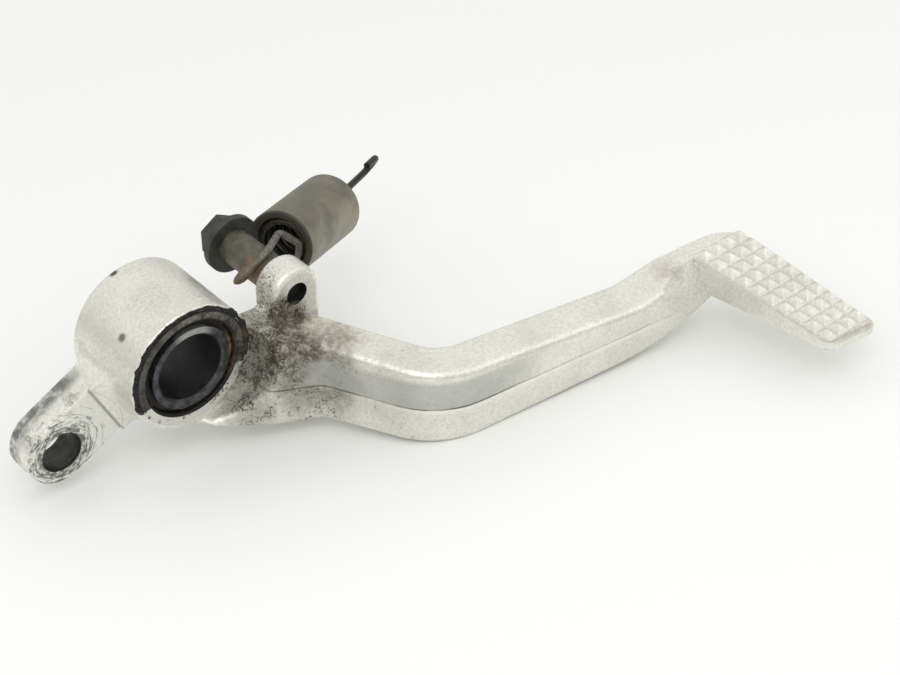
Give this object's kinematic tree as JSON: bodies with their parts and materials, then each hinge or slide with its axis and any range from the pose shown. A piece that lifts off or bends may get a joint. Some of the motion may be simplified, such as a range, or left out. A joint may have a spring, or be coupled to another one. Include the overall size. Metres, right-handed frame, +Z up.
{
  "type": "rear brake pedal",
  "caption": "Cast rear brake pedal for a motorbike: lever with ridged foot pad, bushed pivot hub, rear clevis arm and return spring in a tube.",
  "frame": {"origin": "on the pivot axis, inside the hub's sleeve", "axes": "+X forward to the foot pad, +Y along the pivot axis to the inner side (the rider's side is -Y), +Z up"},
  "size_m": [0.1996, 0.157, 0.0455],
  "materials": {
    "cast_metal": "satin cast, worn and stained",
    "sleeve_steel": "dark worn steel",
    "bush_bronze": "dull, greasy",
    "seal_rubber": "matte, torn edge",
    "post_steel": "dark coated, rusty",
    "spring_steel": "brown, oily",
    "tube_plastic": "matte, dirty"
  },
  "bodies": {
    "pivot": {"pivot_sleeve": "sleeve_steel"},
    "lever": {"pedal_lever": "cast_metal", "pivot_bush": "bush_bronze", "dust_seal_outer": "seal_rubber", "dust_seal_inner": "seal_rubber", "spring_post": "post_steel"},
    "spring": {"return_spring": "spring_steel", "spring_sleeve": "tube_plastic"}
  },
  "joints": [
    {"name": "pedal_swing", "type": "hinge", "parent": "pivot", "child": "lever", "pos_m": [0, 0, 0], "axis": [0, 1, 0], "range_deg": [0, 14], "stiffness_Nm_per_rad": 2, "springref_deg": -20.05},
    {"name": "spring_swing", "type": "hinge", "parent": "lever", "child": "spring", "pos_m": [0.0357, 0.005, 0.0063], "axis": [0, 1, 0], "range_deg": [-100, 80]}
  ]
}
